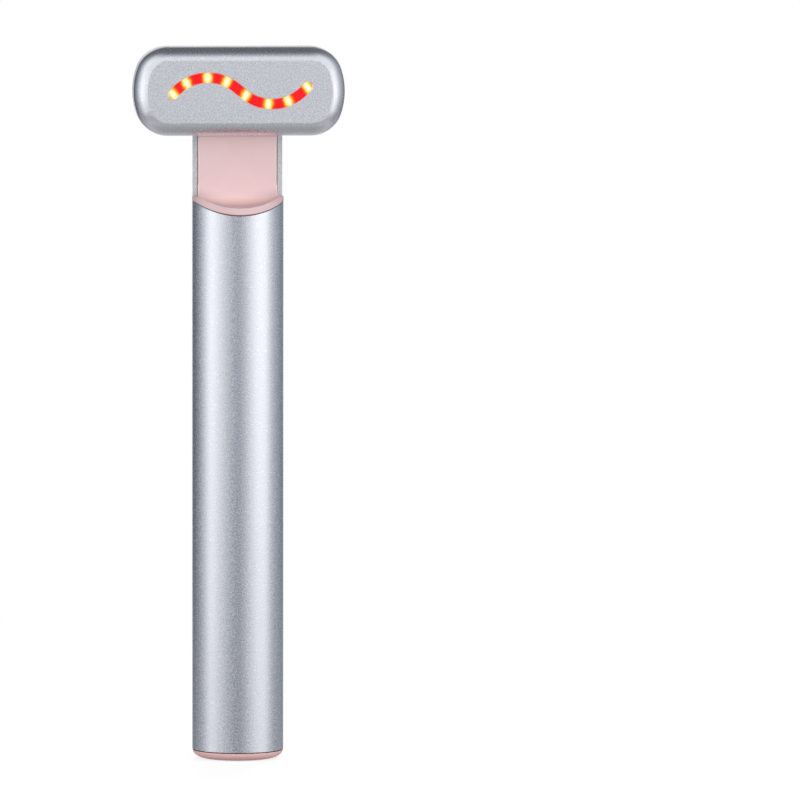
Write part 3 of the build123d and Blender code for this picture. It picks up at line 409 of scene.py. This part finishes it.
# The lines that drawing or turning leaves, along the wand, and the cloud of the plating
drawn_lines, given, shown = effect("drawn_lines", {"Scale": 9000.0}, ("Height", "Cloud"))
here = point_on(drawn_lines)
long = put(drawn_lines, "Mapping", {"Vector": here, "Scale": (1.0, 1.0, 0.04)}).outputs[0]
lines = put(drawn_lines, "TexNoise", {"Vector": long, "Scale": given["Scale"], "Detail": 2.0})
cloud = put(drawn_lines, "TexNoise", {"Vector": here, "Scale": 500.0, "Detail": 3.0})
drawn_lines.links.new(lines.outputs[0], shown["Height"])
drawn_lines.links.new(cloud.outputs[0], shown["Cloud"])


def metal(name, tone, shade, rough, depth=0.000003):
    """Drawn or turned metal."""
    made, tree, shader = material(name, {"Metallic": 1.0})
    marks = use(tree, drawn_lines)
    tint = blend(tree, span(tree, marks["Cloud"], 0.3, 0.7), shade, tone)
    worn = span(tree, marks["Height"], 0.2, 0.8, rough - 0.06, rough + 0.08)
    finish(tree, shader, tint, worn, marks["Height"], depth)
    return made


dress(
    metal("plated_steel", colour(206, 205, 200), colour(188, 188, 185), rough=0.3),
    "pivot_screws", "led_board_screws", "board_screws", "stop_washer", "motor_can",
)
dress(
    metal("bare_steel", colour(196, 198, 202), colour(178, 180, 185), rough=0.22),
    "pivot_shaft", "motor_shaft",
)
dress(
    metal("spring_steel", colour(150, 152, 158), colour(128, 130, 138), rough=0.35),
    "retaining_clip", "disc_spring",
)
dress(
    metal("nickel", colour(214, 209, 196), colour(200, 194, 180), rough=0.26),
    "usb_socket", "battery_tabs",
)
dress(
    metal("sprung_bronze", colour(226, 184, 118), colour(206, 160, 96), rough=0.3),
    "tube_contact", "head_contact",
)
dress(
    metal("sintered_alloy", colour(132, 131, 130), colour(112, 111, 112), rough=0.5, depth=0.00001),
    "motor_weight",
)

# Swivel bush, chassis and connector
# A bush of natural acetal in the neck, and the frame of off-white nylon that holds the cell, the
# board and the motor inside the tube. The connector is of the same nylon.
dress(
    plastic("natural_acetal", colour(240, 238, 230), colour(234, 231, 222), rough=0.42, depth=0.000002),
    "pivot_bush",
)
dress(
    plastic("white_nylon", colour(234, 232, 226), colour(226, 223, 215), rough=0.5, depth=0.000006),
    "chassis", "harness_connector",
)

# Cell
# A round lithium cell in a shrunk blue sleeve, which is turned in over the rims of its steel ends.
# It stands in the chassis, between its two nickel tabs.
turned_in = 0.0012
sleeve_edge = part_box("battery_cell")[1].x - turned_in
made, tree, shader = material("sleeved_cell", {})
here = place_on(tree)
radius = length(tree, vector(tree, here["X"], here["Y"]))
bare = span(tree, radius, sleeve_edge, sleeve_edge - 0.0001)
marks = use(tree, moulded, Scale=700.0)
sleeve = blend(tree, marks["Flow"], colour(40, 96, 168), colour(52, 112, 184))
tint = blend(tree, bare, sleeve, colour(200, 200, 198))
finish(tree, shader, tint, span(tree, marks["Flow"], 0.2, 0.8, 0.22, 0.34), marks["Height"], 0.00003)
tree.links.new(bare, shader.inputs["Metallic"])
dress(made, "battery_cell")

# Main board and charging board
# Green boards with tinned holes. They carry black chips, a ferrite coil, ceramic capacitors with
# tinned ends, and the small switch under the button.
dress(
    circuit_board("green_board", colour(18, 92, 52), colour(34, 122, 68)),
    "main_board", "charge_board",
)


def chip(name, node, faces_back=False):
    """A black package with a dimple at one corner and a row of pads along its foot."""
    low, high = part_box(node)
    foot_y = low.y if faces_back else high.y
    made, tree, shader = material(name, {})
    here = place_on(tree)
    marks = use(tree, moulded, Scale=6000.0)
    corner = (low.x + dimple_inset, low.y + high.y - foot_y, high.z - dimple_inset)
    away = put(tree, "VectorMath", {0: point_on(tree), 1: corner}, operation="DISTANCE").outputs["Value"]
    dimple = span(tree, away, 0.00028, 0.00022)
    body = blend(tree, marks["Flow"], colour(34, 34, 36), colour(44, 44, 46))
    at_foot = span(tree, apart(tree, here["Y"], foot_y), 0.00022, 0.0002)
    spaced = maths(tree, "PINGPONG", maths(tree, "ADD", here["X"], here["Z"]), pad_pitch / 2)
    pads = maths(tree, "MULTIPLY", at_foot, span(tree, spaced, 0.00012, 0.00014))
    tint = blend(tree, pads, blend(tree, dimple, body, colour(70, 70, 72)), colour(208, 206, 200))
    relief = maths(tree, "SUBTRACT", maths(tree, "MULTIPLY", marks["Height"], 0.2), dimple)
    finish(tree, shader, tint, span(tree, marks["Flow"], 0.2, 0.8, 0.45, 0.6), relief, 0.00003)
    tree.links.new(pads, shader.inputs["Metallic"])
    dress(made, node)


dimple_inset = 0.0007
pad_pitch = 0.0005
chip("control_package", "control_chip")
chip("charge_package", "charge_chip", faces_back=True)
chip("driver_package", "led_driver", faces_back=True)

made, tree, shader = material("ferrite", {"Metallic": 0.3})
grain = use(tree, blasted_grain, Scale=7000.0, Share=0.06)
body = blend(tree, grain["Height"], colour(58, 58, 60), colour(76, 76, 78))
tint = blend(tree, grain["Sparkle"], body, colour(120, 120, 122))
finish(tree, shader, tint, span(tree, grain["Height"], 0.2, 0.8, 0.5, 0.7), grain["Height"], 0.00001)
dress(made, "boost_coil")

capacitor_pitch = 0.0032
made, tree, shader = material("ceramic_capacitor", {})
from_middle = maths(tree, "PINGPONG", place_on(tree)["X"], capacitor_pitch / 2)
tinned = span(tree, from_middle, 0.00062, 0.00064)
marks = use(tree, moulded, Scale=6000.0)
body = blend(tree, marks["Flow"], colour(176, 140, 100), colour(188, 152, 112))
finish(
    tree, shader, blend(tree, tinned, body, colour(204, 203, 198)),
    span(tree, marks["Height"], 0.2, 0.8, 0.36, 0.48), marks["Height"], 0.000005,
)
tree.links.new(tinned, shader.inputs["Metallic"])
dress(made, "capacitors")

plate_thickness = 0.0003
plate_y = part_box("tact_switch")[1].y - plate_thickness
made, tree, shader = material("switch_body", {})
plate = span(tree, place_on(tree)["Y"], plate_y - 0.00002, plate_y)
marks = use(tree, drawn_lines)
case = blend(tree, marks["Cloud"], colour(30, 30, 32), colour(40, 40, 42))
finish(
    tree, shader, blend(tree, plate, case, colour(205, 204, 200)),
    span(tree, marks["Height"], 0.2, 0.8, 0.3, 0.45), marks["Height"], 0.000004,
)
tree.links.new(plate, shader.inputs["Metallic"])
dress(made, "tact_switch")
dress(
    plastic("black_acetal", colour(42, 42, 44), colour(34, 34, 36), rough=0.4, depth=0.000003),
    "switch_plunger",
)

# Light pipe
# A short rod of clear acrylic, lightly frosted. It goes through the chassis and the tube, and brings
# the charge light to the back of the handle.
made, tree, shader = material("frosted_acrylic", {"Transmission Weight": 1.0, "IOR": 1.49})
marks = use(tree, moulded, Scale=5000.0)
finish(
    tree, shader, blend(tree, marks["Flow"], colour(246, 247, 247), colour(252, 252, 252)),
    span(tree, marks["Height"], 0.2, 0.8, 0.18, 0.3), marks["Height"], 0.000003,
)
dress(made, "light_pipe")

# Socket tongue
# The black moulded tongue in the middle of the charging socket. A row of gilt contacts lies on each
# of its faces.
made, tree, shader = material("contact_tongue", {})
here = place_on(tree)
marks = use(tree, moulded)
contact_pitch = 0.0005
contact_top = 0.0061
row_end = 0.003
row = span(tree, maths(tree, "PINGPONG", here["X"], contact_pitch / 2), 0.00013, 0.00011)
row = maths(tree, "MULTIPLY", row, span(tree, here["Z"], contact_top, contact_top - 0.0001))
within = span(tree, maths(tree, "ABSOLUTE", here["X"]), row_end, row_end - 0.0001)
gilt = maths(tree, "MULTIPLY", row, within)
body = blend(tree, marks["Flow"], colour(28, 28, 30), colour(38, 38, 40))
tint = blend(tree, gilt, body, colour(232, 190, 96))
finish(tree, shader, tint, span(tree, gilt, 0.0, 1.0, 0.5, 0.25), gilt, 0.00002)
tree.links.new(gilt, shader.inputs["Metallic"])
dress(made, "socket_tongue")

# Wires
# Stranded wires in soft insulation, each in its own colour: black and red for power, and four
# colours for the head.


def wires(name, pitch, tones, *nodes):
    """Insulation whose colour changes from each wire to the next across the wand."""
    made, tree, shader = material(name, {})
    marks = use(tree, moulded)
    middle = len(tones) / 2
    across = span(tree, place_on(tree)["X"], -middle * pitch, middle * pitch)
    ramp = put(tree, "ValToRGB", {0: across})
    ramp.color_ramp.interpolation = "CONSTANT"
    for index, tone in enumerate(tones):
        stop = ramp.color_ramp.elements.new(index / len(tones)) if index else ramp.color_ramp.elements[0]
        stop.color = colour(*tone)
    ramp.color_ramp.elements.remove(ramp.color_ramp.elements[-1])
    shade = blend(tree, maths(tree, "MULTIPLY", marks["Flow"], 0.2), ramp.outputs[0], colour(20, 20, 20))
    finish(tree, shader, shade, span(tree, marks["Height"], 0.2, 0.8, 0.4, 0.55), marks["Height"], 0.000004)
    dress(made, *nodes)


wire_black, wire_red = (32, 32, 34), (186, 30, 34)
wire_white, wire_yellow = (232, 232, 230), (232, 190, 50)
pair_apart, harness_pitch = 0.01, 0.00062
power_wires = (wire_black, wire_red)
head_wires = (wire_black, wire_red, wire_white, wire_yellow)
wires("power_wires", pair_apart, power_wires, "battery_leads", "charge_leads", "motor_leads")
wires("head_wires", harness_pitch, head_wires, "neck_harness", "head_harness")

# Studio
# A pale floor, soft lamps, a white background and a tent of white cloth that only the metal shows.
# The camera stands about two metres off with a long lens, a little above the middle of the wand
# and a little to the left of its front, and leans a trace to one side.
lens_distance = 2.1
lens_rise = radians(4.4)
lens_turn = radians(-3.5)
lens_lean = 0.0014
aim = Vector((0.03474, 0.0, 0.07656))
camera = bpy.data.objects.new("camera", bpy.data.cameras.new("camera"))
bpy.context.scene.collection.objects.link(camera)
camera.data.sensor_width = 36.0
camera.data.lens = 442.4
camera.data.clip_start, camera.data.clip_end = 0.1, 20.0
lens_reach = lens_distance * cos(lens_rise)
camera.location = (
    lens_reach * sin(lens_turn), -lens_reach * cos(lens_turn), aim.z + lens_distance * sin(lens_rise),
)
camera.rotation_mode = "QUATERNION"
level = (aim - camera.location).to_track_quat("-Z", "Y")
camera.rotation_quaternion = level @ Quaternion((0.0, 0.0, 1.0), lens_lean)
bpy.context.scene.camera = camera


def softbox(name, azimuth, distance, rise, size, watts):
    """A soft rectangular lamp that faces the wand."""
    lamp = bpy.data.objects.new(name, bpy.data.lights.new(name, "AREA"))
    bpy.context.scene.collection.objects.link(lamp)
    lamp.data.shape = "RECTANGLE"
    lamp.data.size, lamp.data.size_y = size
    lamp.data.energy = watts
    angle = radians(azimuth)
    lamp.location = (distance * sin(angle), -distance * cos(angle), rise)
    lamp.rotation_mode = "QUATERNION"
    lamp.rotation_quaternion = (Vector((0.0, 0.0, 0.08)) - lamp.location).to_track_quat("-Z", "Y")
    lamp.visible_camera = False
    lamp.visible_glossy = False


softbox("lamp_left", azimuth=-70.0, distance=1.2, rise=0.28, size=(0.7, 0.5), watts=6.0)
softbox("lamp_right", azimuth=65.0, distance=1.2, rise=0.28, size=(0.7, 0.5), watts=5.2)
softbox("lamp_front", azimuth=5.0, distance=1.5, rise=0.14, size=(1.2, 0.4), watts=14.3)
softbox("lamp_back", azimuth=170.0, distance=1.5, rise=0.5, size=(1.0, 0.5), watts=14.0)

world = bpy.data.worlds.new("studio")
bpy.context.scene.world = world
world.use_nodes = True
tree = world.node_tree
tree.nodes.clear()
path = put(tree, "LightPath").outputs
seen = maths(tree, "MAXIMUM", path["Is Camera Ray"], path["Is Glossy Ray"])
seen = maths(tree, "MAXIMUM", seen, path["Is Transmission Ray"])
sky_light = span(tree, seen, 0.0, 1.0, 0.34, 1.0)
sky = put(tree, "Background", {"Color": (1.0, 1.0, 1.0, 1.0), "Strength": sky_light})
put(tree, "OutputWorld", {"Surface": sky.outputs[0]})


def stage_piece(name, shape):
    """A piece of the studio, not of the wand, with an empty material tree."""
    mesh = bpy.data.meshes.new(name)
    shape.to_mesh(mesh)
    shape.free()
    piece = bpy.data.objects.new(name, mesh)
    bpy.context.scene.collection.objects.link(piece)
    made = bpy.data.materials.new(name)
    made.use_nodes = True
    made.node_tree.nodes.clear()
    mesh.materials.append(made)
    return piece, made.node_tree


# The tent's tones round the wand, from the back, past its left side (-90), the camera (0) and its right
tent_radius = 0.6
wall_tones = {
    -180: 0.9, -168: 0.9, -156: 0.06, -143: 0.11, -128: 0.19, -118: 0.27, -110: 0.37, -102: 0.53,
    -90: 0.82, -82: 1.08, -76: 1.28, -66: 1.26, -58: 1.12, -50: 1.0, -28: 0.7, -14: 0.51, 0: 0.36,
    14: 0.53, 28: 0.84, 44: 1.16, 54: 1.28, 70: 1.3, 77: 1.22, 84: 0.9, 92: 0.67, 104: 0.5,
    116: 0.38, 128: 0.3, 142: 0.23, 156: 0.15, 168: 0.9, 180: 0.9,
}
shape = bmesh.new()
bmesh.ops.create_uvsphere(shape, u_segments=64, v_segments=32, radius=tent_radius)
tent, tree = stage_piece("light_tent", shape)
here = place_on(tree)
azimuth = maths(tree, "ARCTAN2", here["X"], maths(tree, "MULTIPLY", here["Y"], -1.0))
half_turn = radians(180.0)
walls = put(tree, "ValToRGB", {0: span(tree, azimuth, lens_turn - half_turn, lens_turn + half_turn)})
ring = walls.color_ramp.elements
for angle, level in wall_tones.items():
    stop = {-180: ring[0], 180: ring[-1]}.get(angle) or ring.new((angle + 180) / 360)
    cool = max(0.0, 0.6 - level) * 0.25
    stop.color = (level * (1 - cool), level, level * (1 + 1.6 * cool), 1.0)
# The walls get brighter with height, glow low down behind, and are white above in front
climb = span(tree, here["Z"], -0.25, 0.06, 0.16, 1.14)
lit_walls = put(tree, "VectorMath", {0: walls.outputs[0], 3: climb}, operation="SCALE").outputs[0]
behind = span(tree, maths(tree, "ABSOLUTE", azimuth), radians(100.0), radians(125.0))
glow = maths(tree, "MULTIPLY", behind, span(tree, here["Z"], 0.0, -0.12, 0.0, 0.3))
both = {0: lit_walls, 1: vector(tree, glow, glow, glow)}
lit_walls = put(tree, "VectorMath", both, operation="ADD").outputs[0]
before = maths(tree, "MULTIPLY", span(tree, here["Z"], 0.15, 0.36), span(tree, here["Y"], 0.05, -0.2))
lit_walls = blend(tree, before, lit_walls, (1.0, 1.01, 1.04, 1.0))
# The dark ceiling leans back, and is paler towards both sides
ceiling_lean = radians(20.0)
ceiling_way = (0.0, sin(ceiling_lean), cos(ceiling_lean))
ceiling = span(tree, dot(tree, point_on(tree), ceiling_way), 0.72 * tent_radius, 0.92 * tent_radius)
inward = span(tree, maths(tree, "ABSOLUTE", here["X"]), 0.05, 0.4, 1.0, 0.4)
closed = blend(tree, maths(tree, "MULTIPLY", ceiling, inward), lit_walls, (0.14, 0.14, 0.15, 1.0))
# The foot of the tent is the pale floor
ground = span(tree, here["Z"], -0.2 * tent_radius, -0.6 * tent_radius)
ground_level = span(tree, here["Z"], -0.6 * tent_radius, -0.95 * tent_radius, 0.62, 0.4)
closed = blend(tree, ground, closed, vector(tree, ground_level, ground_level, ground_level))
put(tree, "OutputMaterial", {"Surface": put(tree, "Emission", {"Color": closed}).outputs[0]})
for kind in ("camera", "diffuse", "transmission", "volume_scatter", "shadow"):
    setattr(tent, "visible_" + kind, False)

shape = bmesh.new()
bmesh.ops.create_grid(shape, x_segments=1, y_segments=1, size=6.0)
floor, tree = stage_piece("floor", shape)
path = put(tree, "LightPath").outputs
# Near the wand the floor is pale and takes its shadow; further off it fades into the white background
matte = put(tree, "BsdfDiffuse", {"Color": (0.45, 0.45, 0.45, 1.0)})
lift_light = maths(tree, "MULTIPLY", path["Is Camera Ray"], 0.72)
lift = put(tree, "Emission", {"Color": (1.0, 1.0, 1.0, 1.0), "Strength": lift_light})
pale = put(tree, "AddShader", {0: matte.outputs[0], 1: lift.outputs[0]})
white = put(tree, "Emission", {"Color": (1.0, 1.0, 1.0, 1.0), "Strength": path["Is Camera Ray"]})
fade_from, fade_to = 0.06, 0.3
reach = {0: length(tree, point_on(tree)), 1: fade_from, 2: fade_to}
far = put(tree, "MapRange", reach, interpolation_type="SMOOTHSTEP").outputs[0]
faded = put(tree, "MixShader", {0: far, 1: pale.outputs[0], 2: white.outputs[0]})
# From below it is clear, so that the base shows
from_below = put(tree, "NewGeometry").outputs["Backfacing"]
clear = put(tree, "BsdfTransparent").outputs[0]
one_sided = put(tree, "MixShader", {0: from_below, 1: faded.outputs[0], 2: clear})
put(tree, "OutputMaterial", {"Surface": one_sided.outputs[0]})
floor.visible_glossy = False

bpy.context.scene.view_settings.view_transform = "Standard"
